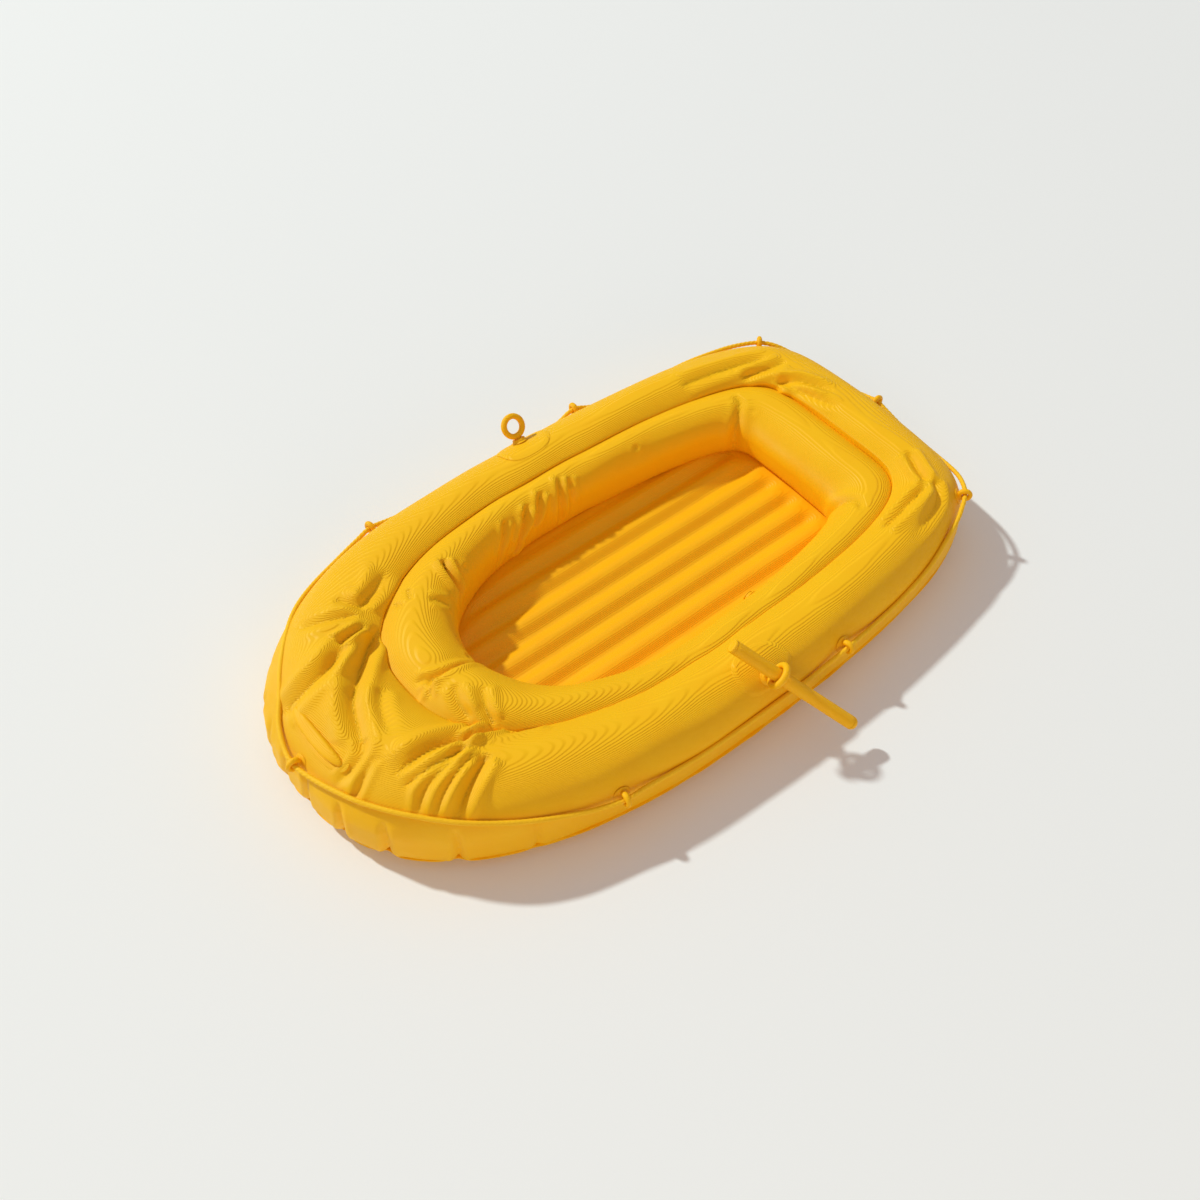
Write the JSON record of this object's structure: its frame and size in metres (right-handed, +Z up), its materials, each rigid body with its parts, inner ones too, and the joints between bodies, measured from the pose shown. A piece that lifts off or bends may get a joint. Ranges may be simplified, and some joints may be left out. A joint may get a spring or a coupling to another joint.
{
  "type": "inflatable rowing dinghy",
  "caption": "Small inflatable rowing dinghy with a blunt bow: two ring-shaped air chambers round a ribbed air floor, a grab line in holders, swinging rowlocks and an oar shaft.",
  "frame": {"origin": "on the ground under the centre line, at the hull's widest station", "axes": "+X towards the bow, +Y to port, +Z up"},
  "size_m": [1.8406, 1.1875, 0.3001],
  "materials": {
    "chamber_film": "soft satin film with fine level ridges",
    "floor_film": "soft satin film, ribbed",
    "bottom_film": "matte film",
    "welt": "thin welded edge, matte",
    "grab_line": "three-strand twisted line",
    "holder": "matte moulding",
    "patch": "matte film",
    "rowlock_rubber": "matte rubber",
    "rowlock_ring": "matte moulding",
    "oar": "matte tube",
    "handle": "matte soft moulding",
    "valve_flap": "thin soft flap",
    "valve": "matte moulding"
  },
  "bodies": {
    "hull": {"outer_chamber": "chamber_film", "inner_chamber": "chamber_film", "floor_panel": "floor_film", "bottom_sheet": "bottom_film", "bottom_welt": "welt", "grab_line": "grab_line", "rope_holder_bow": "holder", "rope_holder_port_fore": "holder", "rope_holder_port_aft": "holder", "rope_holder_port_corner": "holder", "rope_holder_stern": "holder", "rope_holder_starboard_corner": "holder", "rope_holder_starboard_aft": "holder", "rope_holder_starboard_fore": "holder", "port_rowlock_patch": "patch", "port_rowlock_socket": "rowlock_rubber", "starboard_rowlock_patch": "patch", "starboard_rowlock_socket": "rowlock_rubber", "bow_handle_patch": "patch", "bow_handle": "handle", "main_valve_body": "valve", "main_valve_flap": "valve_flap", "inner_valve_body": "valve", "inner_valve_flap": "valve_flap", "floor_valve_body": "valve", "floor_valve_flap": "valve_flap"},
    "port_rowlock": {"port_rowlock_ring": "rowlock_ring"},
    "starboard_rowlock": {"starboard_rowlock_ring": "rowlock_ring"},
    "oar": {"oar_shaft": "oar", "oar_tip": "oar", "oar_grip": "oar"},
    "main_cap": {"main_valve_cap": "valve"},
    "inner_cap": {"inner_valve_cap": "valve"},
    "floor_cap": {"floor_valve_cap": "valve"}
  },
  "joints": [
    {"name": "port_rowlock_swing", "type": "hinge", "parent": "hull", "child": "port_rowlock", "pos_m": [-0.04165, 0.50435, 0.20669], "axis": [-0.0055, 0.6822, 0.7311], "range_deg": [-72, 8]},
    {"name": "oar_lift", "type": "hinge", "parent": "port_rowlock", "child": "oar", "pos_m": [-0.04165, 0.50435, 0.20669], "axis": [0.8631, 0.3725, -0.3411], "range_deg": [-5, 20]},
    {"name": "starboard_rowlock_swing", "type": "hinge", "parent": "hull", "child": "starboard_rowlock", "pos_m": [-0.05311, -0.49052, 0.21802], "axis": [-0.0058, -0.5882, 0.8087], "range_deg": [-40, 40]},
    {"name": "main_cap_pull", "type": "slide", "parent": "hull", "child": "main_cap", "axis": [-0.9985, -0.0168, -0.0512], "range_m": [0, 0.012]},
    {"name": "inner_cap_pull", "type": "slide", "parent": "hull", "child": "inner_cap", "axis": [0.0839, -0.9942, 0.0677], "range_m": [0, 0.012]},
    {"name": "floor_cap_pull", "type": "slide", "parent": "hull", "child": "floor_cap", "axis": [0, 0, 1], "range_m": [0, 0.012]}
  ]
}
